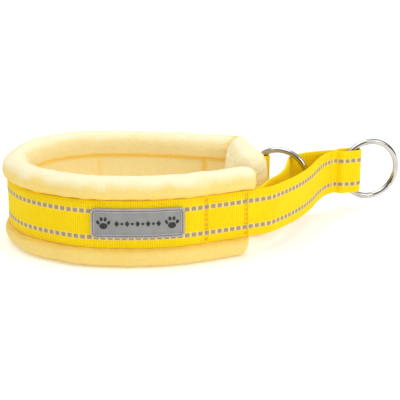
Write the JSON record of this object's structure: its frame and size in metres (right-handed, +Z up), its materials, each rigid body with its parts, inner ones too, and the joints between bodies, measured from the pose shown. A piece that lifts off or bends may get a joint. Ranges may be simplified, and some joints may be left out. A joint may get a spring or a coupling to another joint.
{
  "type": "martingale collar",
  "caption": "Half-check dog collar: padded fleece band with ribbed reflective webbing, a webbing control loop and welded steel O-rings.",
  "frame": {"origin": "middle of the footprint, on the level that the lower padded edge stands on", "axes": "+X from the closed bend of the band towards the leash ring, +Y from the labelled front to the back, +Z up"},
  "size_m": [0.2635, 0.1229, 0.056],
  "materials": {
    "fleece": "short plush pile, matt",
    "foam": "soft open-cell foam",
    "webbing": "ribbed woven polyester with two grey reflective dashed stripes",
    "thread": "polyester sewing thread, slight sheen",
    "label": "moulded soft rubber, satin",
    "label_thread": "dark sewing thread",
    "steel": "polished nickel-plated wire"
  },
  "bodies": {
    "front_band": {"front_foam_core": "foam", "front_fleece_cover": "fleece", "front_webbing": "webbing", "front_upper_stitching": "thread", "front_lower_stitching": "thread", "root_seam_outer": "thread", "root_seam_inner": "thread", "label_patch": "label", "label_stitching": "label_thread"},
    "rear_band": {"rear_foam_core": "foam", "rear_fleece_cover": "fleece", "rear_webbing": "webbing", "rear_upper_stitching": "thread", "rear_lower_stitching": "thread", "tab_seam": "thread"},
    "control_loop": {"loop_outer_strap": "webbing", "loop_inner_strap": "webbing", "sleeve_seam": "thread"},
    "slide_ring_and_tab": {"slide_ring_tab": "webbing", "slide_ring": "steel"},
    "leash_ring_and_fold": {"leash_ring_sleeve": "webbing", "leash_ring": "steel"}
  },
  "joints": [
    {"name": "neck_opening", "type": "hinge", "parent": "front_band", "child": "rear_band", "pos_m": [-0.13235, -0.00031, 0.028], "axis": [0, 0, 1], "range_deg": [0, 8]},
    {"name": "loop_swing", "type": "hinge", "parent": "front_band", "child": "control_loop", "pos_m": [0.03595, -0.03171, 0.028], "axis": [0, 0, 1], "range_deg": [0, 16]},
    {"name": "slide_ring_swing", "type": "hinge", "parent": "rear_band", "child": "slide_ring_and_tab", "pos_m": [0.02205, 0.04169, 0.028], "axis": [0, 0, 1], "range_deg": [-32, 0]},
    {"name": "leash_ring_swing", "type": "hinge", "parent": "control_loop", "child": "leash_ring_and_fold", "pos_m": [0.08545, 0.04829, 0.028], "axis": [0, 0, 1], "range_deg": [-45, 45]}
  ],
  "couplings": [
    {"joint": "loop_swing", "follows": "neck_opening", "ratio": 2},
    {"joint": "slide_ring_swing", "follows": "neck_opening", "ratio": -4}
  ]
}
